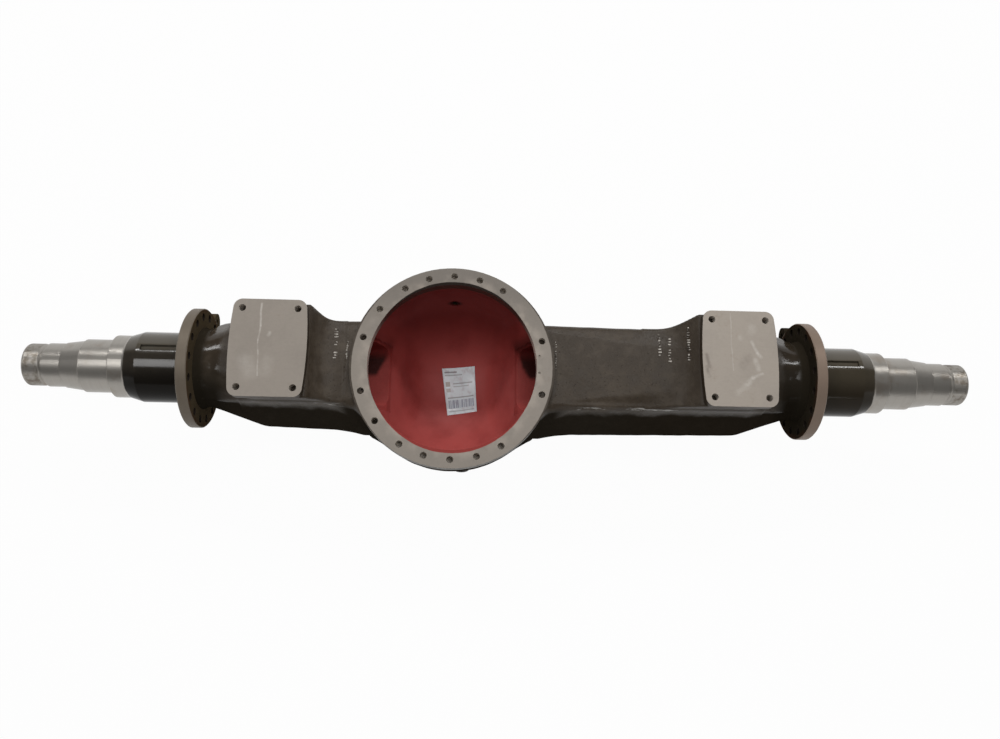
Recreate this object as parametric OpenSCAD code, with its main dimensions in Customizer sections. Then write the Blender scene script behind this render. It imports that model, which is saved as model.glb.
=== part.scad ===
// Heavy axle housing: a cast banjo body with a carrier opening, two spring pads,
// two brake flanges and two hollow wheel spindles.
// Origin at the middle of the carrier face. +X along the axle to the long arm, +Z out of the opening.

/* [Overall] */
// Distance between the inner faces of the two brake flanges
flange_span = 1246; // [1236:1:1300]
// Distance of the carrier opening from the middle of the axle, toward the short arm
carrier_offset = 107; // [95:1:120]
// Height of the carrier face above the axle line
carrier_height = 75; // [70:1:80]

/* [Carrier ring] */
// Outside diameter of the carrier ring
ring_d = 416; // [412:1:430]
// Thickness of the carrier ring
ring_t = 28; // [24:1:34]
// Diameter of the carrier opening, the pilot bore
opening_d = 344; // [330:1:346]
// Depth of the machined pilot bore
pilot_depth = 24; // [18:1:30]
// Bolt circle of the carrier
bolt_circle_d = 381; // [376:1:386]
// Tapping diameter of the carrier bolt holes
bolt_d = 14; // [12:0.5:16]
// Depth of the carrier bolt holes
bolt_depth = 23; // [18:1:24]
// Angle between the three bolts at the top and at the bottom of the ring
bolt_step = 16; // [14:0.5:17]
// Angle between the bolts nearer the arms
bolt_step_wide = 20.5; // [19:0.5:22]
// Diameter of the two locating dimples beside the pilot bore
dimple_d = 5; // [3:0.5:6]

/* [Bowl] */
// Outside radius of the bowl about the axle line
bowl_r = 203; // [199:1:205]
// Casting wall
wall = 18; // [15:1:20]
// Half width of the bowl at the axle line, outside
bowl_waist = 186; // [182:1:192]
// Slope of the bowl's two side walls, in degrees
bowl_taper = 24; // [18:1:28]

/* [Arms] */
// Height of the arm's front face above the axle line
arm_front = 55; // [50:1:60]
// Depth of the arm's back below the axle line
arm_back = 80; // [74:1:86]
// Half width of the arm's front face
arm_front_half = 84; // [79:1:89]
// Half width of the arm at its back
arm_back_half = 104; // [98:1:108]
// Sideways lean of the arm's section: its front one way, its back the other
arm_lean = 7; // [0:1:9]
// Radius of the arm's front edges
arm_front_r = 13; // [8:1:18]
// Radius of the arm's back edges
arm_back_r = 36; // [28:1:42]
// How much the arms widen toward the bowl
arm_flare = 6; // [2:1:10]
// Radius of the round neck next to the brake flange
neck_r = 72; // [70:1:76]

/* [Spring pads] */
// Distance between the middles of the two pads
pad_span = 938; // [926:1:946]
// Sideways offset of the pads from the axle line
pad_y = 17.5; // [10:0.5:22]
// Height of the pad faces above the axle line
pad_height = 122; // [116:1:128]
// Width of the pad at its middle
pad_w = 153; // [149:1:157]
// Length of the pad across the axle
pad_h = 197; // [192:1:202]
// Width lost at each side of the pad's ends
pad_bulge = 6; // [4:0.5:8]
// Corner radius of the pad
pad_r = 18; // [14:1:20]
// Height of the pad's upright edge
pad_t = 20; // [12:1:24]
// Length of the pad's ramp on the short arm
pad_ramp_short = 66; // [58:1:74]
// Length of the pad's ramp on the long arm
pad_ramp_long = 106; // [96:1:116]
// Spacing of the pad holes along the axle
pad_hole_x = 109; // [105:1:112]
// Spacing of the pad holes across the axle
pad_hole_y = 160; // [155:1:163]
// Tapping diameter of the pad holes
pad_hole_d = 14; // [12:0.5:16]
// Depth of the pad holes
pad_hole_depth = 35; // [25:1:40]

/* [Brake flanges] */
// Thickness of the brake flanges
flange_t = 22; // [18:1:26]
// Bolt circle of the brake flanges
flange_pcd = 214; // [210:1:218]
// Width of the brake flange's rim outside its bolt circle
flange_rim = 17; // [15:1:20]
// Number of bolt holes in each brake flange
flange_holes = 16; // [12:4:16]
// Diameter of the brake flange holes
flange_hole_d = 16.5; // [14:0.5:17]
// Radius of the ear at the back of each brake flange
ear_r = 19; // [16:1:22]
// Diameter of the ear's hole
ear_hole_d = 14; // [10:1:15]
// Radius of the casting's collar behind the brake flange
collar_r = 84; // [82:1:92]

/* [Spindles] */
// Length of the spindle beyond the brake flange's inner face
spindle_len = 357; // [345:1:370]
// Root diameter, which carries the brake flange
root_d = 146; // [144:1:150]
// Seal journal diameter
seal_d = 129; // [124:1:132]
// Inner bearing journal diameter
inner_d = 110; // [105:1:115]
// Outer bearing journal diameter
outer_d = 90; // [88:1:95]
// Outside diameter of the threaded end
thread_d = 85; // [80:1:86]
// Bore for the axle shaft
shaft_bore_d = 72; // [66:1:74]
// Diameter of the spindle's pressed-in tail
tail_d = 110; // [104:1:114]
// Length of the pressed-in tail
tail_len = 140; // [130:1:150]
// Width of the cable channel along the root
channel_w = 14; // [10:1:18]
// Depth of the cable channel
channel_deep = 5; // [3:0.5:7]

/* [Plugs and breather] */
// Outside diameter of the plug threads
plug_d = 24; // [20:1:26]
// Diameter of the plug heads
plug_head_d = 34; // [32:1:36]
// Height of the plug heads
plug_head_t = 7; // [5:0.5:9]
// Thickness of the sealing rings
seal_t = 2; // [1.5:0.5:3]
// Outside diameter of the breather's thread
breather_d = 12; // [10:1:14]

/* [Hidden] */
$fn = 96;
SIDES = [-1, 1];
hull_fn = 32;
axle_z = -carrier_height;
mid_x = carrier_offset;
ring_angles = [bolt_step, 2 * bolt_step, 2 * bolt_step + bolt_step_wide, 2 * (bolt_step + bolt_step_wide)];
bowl_inner_r = bowl_r - wall;
taper_run = tan(bowl_taper);
wall_run = wall / cos(bowl_taper);
pad_z = pad_height - carrier_height;
// Lengths along the spindle, measured outward from the brake flange's inner face
root_end = flange_t + 98;
seal_start = root_end + 28;
inner_start = seal_start + 30;
relief_start = inner_start + 60;
outer_start = spindle_len - 77;
thread_start = spindle_len - 37;
relief_d = inner_d - 6;
edge = 2;
channel_angle = 20;
flange_d = flange_pcd + 2 * flange_rim;
// The brake flange's ear: its hole is just outside the rim, at this angle from +Y toward -Z
ear_out = flange_d / 2 + 7;
ear_angle = 27;
// How far the ear is set in from both sides of the flange
ear_inset = 1;
// Plugs and breather, each by the angle of its axis from -Y or +Y toward -Z
drain_angle = 30;
drain_x = 22;
filler_angle = 75;
breather_angle = 19;
boss_out = 5;
boss_top = bowl_r + boss_out;
plug_deep = 14;
dimple_places = [[opening_d / 2 + 5, 24], [opening_d / 2 + 5, -11]];
bulge_r = (pow(pad_h / 2, 2) + pow(pad_bulge, 2)) / (2 * pad_bulge);
corner_y = pad_h / 2 - pad_r;
corner_x = pad_w / 2 - bulge_r + sqrt(pow(bulge_r - pad_r, 2) - pow(corner_y, 2));

// Where each arm starts inside the bowl, measured from the carrier
arm_root = 150;
// Corner radius of the tunnel through each arm
core_r = 28;
function flange_x(side) = mid_x + side * flange_span / 2;
function pad_x(side) = mid_x + side * pad_span / 2;

// Puts a piece's own Z axis along the axle, outward from a brake flange's inner face
module at_flange(side) {
  translate([flange_x(side), 0, axle_z]) rotate([0, side * 90, 0]) children();
}

// Puts a piece's own Z axis radially out of the bowl; up is -1 for the low side and 1 for the high side
module at_bowl(up, angle, x = 0) {
  translate([x, 0, axle_z]) rotate([-up * (90 + angle), 0, 0]) children();
}

// A short bar along the axle, the unit that the arms are stretched over
module bar(x, y, z, r) {
  translate([x, y, axle_z + z]) rotate([0, 90, 0]) cylinder(r = r, h = 2, center = true, $fn = hull_fn);
}

// One cross-section of an arm, narrow in front and wide at the back
module arm_slice(x, grow = 0) {
  for (s = SIDES) {
    bar(x, arm_lean + s * (arm_front_half - arm_front_r + grow), arm_front - arm_front_r, arm_front_r);
    bar(x, s * (arm_back_half - arm_back_r + grow) - arm_lean, arm_back_r - arm_back - grow, arm_back_r);
  }
}

module rounded_box(w, h, r) {
  square([w, h - 2 * r], center = true);
  square([w - 2 * r, h], center = true);
  for (sx = SIDES, sy = SIDES) translate([sx * (w / 2 - r), sy * (h / 2 - r)]) circle(r = r);
}

// A pad's face: a rectangle with round corners and slightly bulging sides
module pad_outline() {
  intersection() {
    square([pad_w, 2 * corner_y], center = true);
    translate([pad_w / 2 - bulge_r, 0]) circle(r = bulge_r);
    translate([bulge_r - pad_w / 2, 0]) circle(r = bulge_r);
  }
  square([2 * corner_x, pad_h], center = true);
  for (sx = SIDES, sy = SIDES) translate([sx * corner_x, sy * corner_y]) circle(r = pad_r);
}

// A ball about the axle line, cut off flat at top and cut in by two sloping side walls
module bowl_body(r, waist, top) {
  low = axle_z - r - 1;
  intersection() {
    translate([0, 0, axle_z]) sphere(r = r);
    rotate([90, 0, 0]) linear_extrude(3 * r, center = true) polygon([
      [-waist - (top - axle_z) * taper_run, top],
      [waist + (top - axle_z) * taper_run, top],
      [waist + (low - axle_z) * taper_run, low],
      [-waist - (low - axle_z) * taper_run, low]
    ]);
  }
}

// An arm from the bowl to the round neck behind the brake flange
module arm(side) hull() {
  arm_slice(side * arm_root, arm_flare);
  arm_slice(pad_x(side) + side * 30);
  bar(flange_x(side) - side * 36, neck_r - 9, 0, 33);
  bar(flange_x(side) - side, 0, 0, neck_r);
}

// The raised block under a pad, with a ramp on the side toward the bowl
module pad_block(side) {
  ramp = side < 0 ? pad_ramp_short : pad_ramp_long;
  rise = pad_z - pad_t - axle_z - arm_front;
  hollow_r = (pow(ramp, 2) + pow(rise, 2)) / (2 * rise);
  foot_r = arm_front_r - 2;
  foot_in = pad_w / 2 + ramp - foot_r;
  foot_out = pad_w / 2 - foot_r;
  foot_y = arm_front_half - arm_front_r - 9;
  foot_z = arm_front - arm_front_r - 1;
  translate([pad_x(side), pad_y, pad_z - pad_t]) linear_extrude(pad_t) pad_outline();
  difference() {
    hull() {
      for (sx = SIDES, sy = SIDES) translate([pad_x(side) + sx * corner_x, pad_y + sy * corner_y, pad_z - pad_t])
        cylinder(r = pad_r - 2, h = 2, center = true, $fn = hull_fn);
      for (sy = SIDES) {
        bar(pad_x(side) - side * foot_in, arm_lean + sy * foot_y, foot_z, foot_r);
        bar(pad_x(side) + side * foot_out, arm_lean + sy * foot_y, foot_z, foot_r);
      }
    }
    translate([pad_x(side) - side * (pad_w / 2 + ramp), pad_y, axle_z + arm_front + hollow_r - 0.5])
      rotate([90, 0, 0]) cylinder(r = hollow_r, h = 2 * pad_h, center = true);
  }
}

// The flared collar that meets the brake flange, starting a little proud of the neck
module collar(side) {
  flare = collar_r - neck_r - 6;
  at_flange(side) rotate_extrude() difference() {
    translate([tail_d / 2, -flare]) square([collar_r - tail_d / 2, flare]);
    translate([collar_r, -flare]) circle(r = flare);
  }
}

module boss(up, angle, r, x = 0) {
  at_bowl(up, angle, x) translate([0, 0, bowl_inner_r + 4]) cylinder(r = r, h = boss_top - bowl_inner_r - 4);
}

module boss_hole(up, angle, d, x = 0) {
  at_bowl(up, angle, x) translate([0, 0, bowl_inner_r - 20]) cylinder(d = d, h = boss_out + wall + 21);
}

module ring_holes() {
  for (up = SIDES, a = [0, for (s = SIDES, ring_angle = ring_angles) s * ring_angle])
    translate([sin(a) * bolt_circle_d / 2, up * cos(a) * bolt_circle_d / 2, -bolt_depth])
      cylinder(d = bolt_d, h = bolt_depth + 1);
  for (place = dimple_places) translate([place.x, place.y, -4]) cylinder(d = dimple_d, h = 5);
}

module pad_holes(side) {
  for (sx = SIDES, sy = SIDES)
    translate([pad_x(side) + sx * pad_hole_x / 2, pad_y + sy * pad_hole_y / 2, pad_z - pad_hole_depth])
      cylinder(d = pad_hole_d, h = pad_hole_depth + 1);
}

// The cast tunnel through an arm, and the machined bore for the spindle's tail
module arm_hollow(side) {
  core_w = 2 * (arm_front_half - wall);
  core_h = arm_front + arm_back - 2 * wall;
  core_end = flange_x(side) - side * tail_len;
  core_in = bowl_inner_r / 2;
  translate([side < 0 ? core_end : core_in, 0, axle_z + (arm_front - arm_back) / 2])
    rotate([90, 0, 90]) linear_extrude(abs(core_end) - core_in) rounded_box(core_w, core_h, core_r);
  at_flange(side) translate([0, 0, -tail_len - 6]) cylinder(d = tail_d, h = tail_len + 7);
}

module housing_casting() color([0.29, 0.27, 0.24]) difference() {
  union() {
    bowl_body(bowl_r, bowl_waist, -ring_t / 2);
    translate([0, 0, -ring_t]) cylinder(d = ring_d, h = ring_t);
    for (side = SIDES) {
      arm(side);
      pad_block(side);
      collar(side);
    }
    boss(-1, drain_angle, plug_head_d / 2 + 4, drain_x);
    boss(-1, filler_angle, plug_head_d / 2 + 4);
    boss(1, breather_angle, breather_d);
  }
  bowl_body(bowl_inner_r, bowl_waist - wall_run, -pilot_depth);
  translate([0, 0, -pilot_depth - 8]) cylinder(d = opening_d, h = pilot_depth + 9);
  for (side = SIDES) {
    arm_hollow(side);
    pad_holes(side);
  }
  ring_holes();
  boss_hole(-1, drain_angle, plug_d, drain_x);
  boss_hole(-1, filler_angle, plug_d);
  boss_hole(1, breather_angle, breather_d);
}

// A drilled ring with one ear at its back
module brake_flange(side) color([0.45, 0.41, 0.37]) at_flange(side) difference() {
  ear = [side * ear_out * sin(ear_angle), ear_out * cos(ear_angle)];
  union() {
    rotate_extrude() polygon([
      [root_d / 2, 0],
      [flange_d / 2 - edge, 0],
      [flange_d / 2, edge],
      [flange_d / 2, flange_t - edge],
      [flange_d / 2 - edge, flange_t],
      [root_d / 2, flange_t]
    ]);
    translate([0, 0, ear_inset]) linear_extrude(flange_t - 2 * ear_inset) rotate([0, 0, -side * ear_angle]) {
      translate([0, ear_out]) circle(r = ear_r);
      translate([2.5 - ear_r, ear_out - 30]) square([2 * ear_r - 5, 30]);
    }
  }
  translate([ear.x, ear.y, -1]) cylinder(d = ear_hole_d, h = flange_t + 2);
  for (i = [0 : flange_holes - 1]) rotate([0, 0, i * 360 / flange_holes])
    translate([flange_pcd / 2, 0, -1]) cylinder(d = flange_hole_d, h = flange_t + 2);
}

module brake_flange_left() brake_flange(-1);

module brake_flange_right() brake_flange(1);

// Turned profile of a spindle, from its pressed-in tail to its threaded end
module spindle_profile() {
  polygon([
    [shaft_bore_d / 2, -tail_len],
    [tail_d / 2 - edge, -tail_len],
    [tail_d / 2, -tail_len + edge],
    [tail_d / 2, 0],
    [root_d / 2, 0],
    [root_d / 2, root_end],
    [seal_d / 2, seal_start],
    [seal_d / 2, inner_start - edge],
    [seal_d / 2 - edge, inner_start],
    [inner_d / 2, inner_start],
    [inner_d / 2, relief_start],
    [relief_d / 2, relief_start + 3],
    [outer_d / 2 + 2, outer_start - 2],
    [outer_d / 2, outer_start],
    [outer_d / 2, thread_start - 6],
    [thread_d / 2 - 3, thread_start - 4],
    [thread_d / 2 - 3, thread_start],
    [thread_d / 2, thread_start + 3],
    [thread_d / 2, spindle_len - edge],
    [thread_d / 2 - edge, spindle_len],
    [shaft_bore_d / 2, spindle_len]
  ]);
}

module spindle(side) color([0.25, 0.23, 0.20]) at_flange(side) difference() {
  rotate_extrude() spindle_profile();
  rotate([0, 0, side < 0 ? channel_angle : 180 - channel_angle]) {
    translate([root_d / 2 - channel_deep, -channel_w / 2, flange_t])
      cube([2 * channel_deep, channel_w, root_end - flange_t - 8]);
    translate([root_d / 2 - 3, 0, flange_t + channel_w / 2]) sphere(d = channel_w);
  }
}

module spindle_left() spindle(-1);

module spindle_right() spindle(1);

// A screw plug with a hexagon socket, its head on a sealing ring
module plug() {
  difference() {
    union() {
      translate([0, 0, boss_top - plug_deep]) cylinder(d = plug_d, h = plug_deep + seal_t + 1);
      translate([0, 0, boss_top + seal_t]) cylinder(d = plug_head_d, h = plug_head_t);
    }
    translate([0, 0, boss_top + seal_t + plug_head_t - 5]) cylinder(d = plug_d / 2, h = 6, $fn = 6);
  }
}

module sealing_ring() {
  translate([0, 0, boss_top]) difference() {
    cylinder(d = plug_head_d - 2, h = seal_t);
    translate([0, 0, -1]) cylinder(d = plug_d, h = seal_t + 2);
  }
}

module drain_plug() color([0.35, 0.33, 0.30]) at_bowl(-1, drain_angle, drain_x) plug();

module drain_seal() color([0.60, 0.36, 0.22]) at_bowl(-1, drain_angle, drain_x) sealing_ring();

module filler_plug() color([0.35, 0.33, 0.30]) at_bowl(-1, filler_angle) plug();

module filler_seal() color([0.60, 0.36, 0.22]) at_bowl(-1, filler_angle) sealing_ring();

// A vent valve: thread, hexagon and a loose-fitting cap
module breather() color([0.62, 0.58, 0.48]) at_bowl(1, breather_angle) {
  translate([0, 0, boss_top - plug_deep]) cylinder(d = breather_d, h = plug_deep + 1);
  translate([0, 0, boss_top]) cylinder(d = 1.6 * breather_d, h = 7, $fn = 6);
  translate([0, 0, boss_top + 7]) cylinder(d = breather_d, h = 3);
  translate([0, 0, boss_top + 10]) cylinder(d = 1.7 * breather_d, h = 9);
}

housing_casting();
brake_flange_left();
brake_flange_right();
spindle_left();
spindle_right();
drain_plug();
drain_seal();
filler_plug();
filler_seal();
breather();
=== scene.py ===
"""Looks for a heavy axle housing: cast skin, paint, machined faces, threads, label and studio."""
import math
from functools import partialmethod, reduce

import bpy
import numpy as np
from mathutils import Matrix, Vector


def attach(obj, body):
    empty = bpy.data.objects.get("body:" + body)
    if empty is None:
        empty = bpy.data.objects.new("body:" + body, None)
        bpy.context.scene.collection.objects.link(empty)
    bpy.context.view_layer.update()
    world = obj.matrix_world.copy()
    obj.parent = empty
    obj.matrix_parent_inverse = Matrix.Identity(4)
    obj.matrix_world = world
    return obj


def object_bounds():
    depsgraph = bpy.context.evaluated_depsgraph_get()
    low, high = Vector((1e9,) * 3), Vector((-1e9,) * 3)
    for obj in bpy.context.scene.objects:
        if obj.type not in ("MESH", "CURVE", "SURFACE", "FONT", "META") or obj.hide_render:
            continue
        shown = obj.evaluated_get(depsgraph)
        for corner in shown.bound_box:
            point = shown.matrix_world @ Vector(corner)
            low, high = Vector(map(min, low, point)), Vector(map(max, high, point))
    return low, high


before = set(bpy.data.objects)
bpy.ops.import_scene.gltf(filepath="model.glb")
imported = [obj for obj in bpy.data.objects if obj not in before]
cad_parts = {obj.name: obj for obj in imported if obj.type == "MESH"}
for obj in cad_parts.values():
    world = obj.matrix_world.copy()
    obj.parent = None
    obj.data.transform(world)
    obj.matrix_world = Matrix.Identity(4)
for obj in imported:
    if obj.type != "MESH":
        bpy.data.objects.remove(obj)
CAD_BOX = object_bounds()

bl_info = {
    "name": "Axle housing looks",
    "version": (1, 0, 0),
    "blender": (4, 5, 0),
    "location": "View3D > Sidebar > Axle housing",
    "description": "Dresses the packed axle housing with its cast skin, finishes, threads and label",
    "category": "Object",
}

MM = 0.001
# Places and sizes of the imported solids, in millimetres
AXLE_Z = -75.0
MID_X = 107.0
FLANGE_OUT = 623.0
PAD_OUT = 469.0
PAD_Y = 17.5
PAD_TOP, PAD_T, PAD_W = 47.0, 20.0, 153.0
PAD_HOLE_X, PAD_HOLE_Y, PAD_HOLE_R, PAD_HOLE_DEPTH = 54.5, 80.0, 7.0, 35.0
RAMPS = {-1: 66.0, 1: 106.0}
RING_R = 208.0
OPENING_R = 172.0
PILOT_DEPTH = 24.0
BOLT_R, BOLT_DEPTH = 190.5, 23.0
BOWL_R = 203.0
BOWL_INNER_R = 185.0
BOWL_WAIST, BOWL_WAIST_IN = 186.0, 166.3
BOWL_TAPER = math.tan(math.radians(24))
MOUTH_HALF_Y, MOUTH_HALF_Z, MOUTH_DROP = 69.0, 53.0, 12.5
ARM_FRONT, ARM_BACK = 55.0, 80.0
ARM_FRONT_HALF, ARM_BACK_HALF = 84.0, 104.0
ARM_FRONT_R, ARM_BACK_R = 13.0, 36.0
ARM_LEAN, ARM_FLARE, ARM_ROOT = 7.0, 6.0, 150.0
NECK_R = 72.0
FLANGE_T, FLANGE_R = 22.0, 124.0
SHAFT_BORE_R = 36.0
THREAD_R = 42.5
THREAD_FROM, THREAD_TO = 323.0, 355.0
SIDES = {"left": -1, "right": 1}
# Holes in the bowl's wall, for breather and drain: side of the axle line, angle in degrees, X, radius
WALL_HOLES = ((1, 19, 0, 6), (-1, 30, 22, 12))

# Places and sizes of the scene's own pieces, in millimetres
SKIN_ROOF = 50.0
LINING_GAP = 0.6
COVER_R, COVER_ANGLE, COVER_DROP = 8.0, 52.5, 0.02
PAINT_END = 146.0
# Columns of raised marks: X, upper and lower Y, width, spacing
MARK_COLUMNS = (
    (-238, 74, 8, 9.0, 5.6), (-215, 48, 8, 4.0, 4.4), (212, 58, 2, 3.0, 5.0),
    (426, 78, 19, 8.0, 6.4), (446, 80, 15, 7.0, 6.0), (481, 88, 17, 7.0, 5.2),
)
# A ray that misses a surface counts as this long; a cosine under LEVEL counts as level with it
FAR, LEVEL = 1e6, 1e-3


def tone(red, green, blue):
    """Linear colour of a display colour given from 0 to 255."""
    c = np.array([red, green, blue]) / 255
    return tuple(float(v) for v in np.where(c <= 0.04045, c / 12.92, ((c + 0.055) / 1.055) ** 2.4))


PALE, DIRTY = tone(198, 192, 184), tone(96, 86, 78)
# Strokes rubbed on the pads: X and Y of the start and the end, width, break-up, colour, strength
PAD_STROKES = (
    (-379, 106, -378, 60, 3.2, 0.4, PALE, 0.6), (-378, 60, -381, 31, 2.8, 0.5, PALE, 0.5),
    (-381, 31, -377, -40, 2.4, 0.7, PALE, 0.42), (-360, 47, -361, 43, 6.0, 0.4, PALE, 0.4),
    (-392, -32, -402, -12, 26.0, 0.3, PALE, 0.22), (-360, -10, -362, -30, 20.0, 0.4, PALE, 0.14),
    (559, 110, 560, -8, 1.8, 0.6, PALE, 0.4),
    (600, 53, 610, 29, 5.0, 0.5, PALE, 0.5), (610, 29, 617, 21, 6.0, 0.6, PALE, 0.55),
    (606, 14, 611, -3, 8.0, 0.7, PALE, 0.42), (618, -13, 599, -22, 5.0, 0.6, PALE, 0.5),
    (599, -22, 587, -37, 9.0, 0.8, PALE, 0.36), (587, -37, 570, -52, 13.0, 0.8, PALE, 0.24),
    (601, 81, 601, 77, 15.0, 0.5, PALE, 0.26), (577, 62, 578, 59, 9.0, 0.5, PALE, 0.26),
    (582, 4, 590, 18, 16.0, 0.5, DIRTY, 0.24),
    (508, 23, 514, -4, 7.0, 0.7, DIRTY, 0.5), (507, -2, 511, -20, 6.0, 0.7, DIRTY, 0.45),
)


class HousingSizes(bpy.types.PropertyGroup):
    """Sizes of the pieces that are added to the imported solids."""

    skin: bpy.props.FloatProperty(
        name="Skin", description="How far the cast skin stands off the solid arms and bowl",
        default=1.2 * MM, unit="LENGTH")
    fillet: bpy.props.FloatProperty(
        name="Fillet", description="Reach of the blend between an arm and the bowl, less on the upper side",
        default=56 * MM, unit="LENGTH")
    pad_fillet: bpy.props.FloatProperty(
        name="Pad fillet", description="Reach of the blend between an arm and its pad block",
        default=22 * MM, unit="LENGTH")
    ripple: bpy.props.FloatProperty(
        name="Ripple", description="Unevenness of the cast skin", default=0.16 * MM, unit="LENGTH")
    thread_pitch: bpy.props.FloatProperty(
        name="Thread pitch", description="Pitch of the spindle threads", default=2 * MM, unit="LENGTH")
    thread_depth: bpy.props.FloatProperty(
        name="Thread depth", description="Height of the spindle threads", default=0.9 * MM, unit="LENGTH")


class HousingColours(bpy.types.PropertyGroup):
    """Colours of the finishes."""

    paint: bpy.props.FloatVectorProperty(
        name="Paint", description="Gloss paint of the casting and the spindle roots",
        default=tone(60, 51, 41), subtype="COLOR", min=0, max=1)
    primer: bpy.props.FloatVectorProperty(
        name="Primer", description="Red primer inside the bowl",
        default=tone(171, 76, 72), subtype="COLOR", min=0, max=1)
    bare: bpy.props.FloatVectorProperty(
        name="Bare iron", description="Machined faces of the ring and the pads",
        default=tone(138, 130, 121), subtype="COLOR", min=0, max=1)
    rim: bpy.props.FloatVectorProperty(
        name="Rim", description="Turned rims of the brake flanges",
        default=tone(112, 103, 91), subtype="COLOR", min=0, max=1)
    rust: bpy.props.FloatVectorProperty(
        name="Rust", description="Rust marks", default=tone(76, 50, 36), subtype="COLOR", min=0, max=1)
    paper: bpy.props.FloatVectorProperty(
        name="Label paper", description="Paper of the label in the bowl",
        default=tone(230, 246, 250), subtype="COLOR", min=0, max=1)


class Wires:
    """Adds nodes to a tree and joins them: a value that is a socket is linked, any other is set.

    A colour is given without its opacity, which is always full.
    """

    def __init__(self, tree, material=None):
        self.tree = tree
        self.material = material

    def put(self, socket, value):
        if isinstance(value, bpy.types.NodeSocket):
            self.tree.links.new(value, socket)
        elif socket.type == "RGBA":
            socket.default_value = (*value, 1.0)
        else:
            socket.default_value = value

    def node(self, kind, values=(), **settings):
        made = self.tree.nodes.new("ShaderNode" + kind)
        for key, value in settings.items():
            setattr(made, key, value)
        for key, value in dict(values).items():
            self.put(made.inputs[key], value)
        return made

    def math(self, operation, *values, clamp=False):
        return self.node("Math", enumerate(values), operation=operation, use_clamp=clamp).outputs[0]

    add = partialmethod(math, "ADD")
    sub = partialmethod(math, "SUBTRACT")
    mul = partialmethod(math, "MULTIPLY")
    over = partialmethod(math, "GREATER_THAN")
    under = partialmethod(math, "LESS_THAN")
    larger = partialmethod(math, "MAXIMUM")
    absolute = partialmethod(math, "ABSOLUTE")

    def both(self, *masks):
        """All of the masks at once."""
        return reduce(self.mul, masks)

    def either(self, *masks):
        """The largest of the masks."""
        return reduce(self.larger, masks)

    def step(self, value, low, high):
        """Smooth step from 0 at low to 1 at high; low may be the larger."""
        made = self.node("MapRange", {0: value, 1: low, 2: high}, interpolation_type="SMOOTHSTEP")
        return made.outputs[0]

    def scaled(self, value, low, high):
        """A 0 to 1 value carried over to low to high."""
        return self.node("MapRange", {0: value, 1: 0.0, 2: 1.0, 3: low, 4: high}).outputs[0]

    def blend(self, factor, a, b):
        """A number from a to b."""
        return self.node("Mix", {0: factor, 2: a, 3: b}).outputs[0]

    def mix(self, factor, a, b):
        """A colour from a to b."""
        return self.node("Mix", {0: factor, 6: a, 7: b}, data_type="RGBA").outputs[2]

    def tint(self, colour, mask, share, *shade):
        """The colour brought toward a display shade, by a share of the mask."""
        return self.mix(self.mul(mask, share), colour, tone(*shade))

    def shaded(self, colour, shade):
        """A colour times a grey value."""
        grey = self.node("CombineColor", {0: shade, 1: shade, 2: shade}).outputs[0]
        made = self.node("Mix", {0: 1.0, 6: colour, 7: grey}, data_type="RGBA", blend_type="MULTIPLY")
        return made.outputs[2]

    def noise(self, vector, scale, detail=2.0, rough=0.5):
        return self.node(
            "TexNoise", {"Vector": vector, "Scale": scale, "Detail": detail, "Roughness": rough}).outputs[0]

    def ragged(self, vector, scale, size):
        """Noise about zero, to make an edge uneven."""
        return self.mul(self.sub(self.noise(vector, scale, 3.0), 0.5), size)

    def vector(self, operation, *values):
        """Vector arithmetic; a dot product, a distance or a length comes out as a number."""
        made = self.node("VectorMath", enumerate(values), operation=operation)
        return made.outputs[1 if operation in ("DOT_PRODUCT", "DISTANCE", "LENGTH") else 0]

    def join(self, *parts):
        """A vector from one, two or three numbers."""
        return self.node("CombineXYZ", enumerate(parts)).outputs[0]

    def surface(self, shader):
        """Puts a shader on the material's surface and gives the material back."""
        self.node("OutputMaterial", {0: shader.outputs[0]})
        return self.material

    def principled(self, inputs):
        return self.surface(self.node("BsdfPrincipled", inputs))

    def stretch(self, vector, x, y, z):
        return self.vector("MULTIPLY", vector, (x, y, z))

    def xyz(self, vector):
        return self.node("SeparateXYZ", {0: vector}).outputs

    def length(self, *parts):
        """Root of the sum of squares of two or three values."""
        return self.vector("LENGTH", self.join(*parts))


def new_group(name, inputs, outputs):
    """A shader node group whose sockets are given by name and kind: its wires, inputs and outputs."""
    group = bpy.data.node_groups.new(name, "ShaderNodeTree")
    for way, sockets in (("INPUT", inputs), ("OUTPUT", outputs)):
        for label, kind in sockets.items():
            group.interface.new_socket(label, in_out=way, socket_type="NodeSocket" + kind)
    entry = group.nodes.new("NodeGroupInput")
    end = group.nodes.new("NodeGroupOutput")
    return Wires(group), entry.outputs, end.inputs


def use_group(w, name, values):
    """Places a node group in a material and gives its outputs."""
    return w.node("Group", values, node_tree=bpy.data.node_groups[name]).outputs


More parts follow.
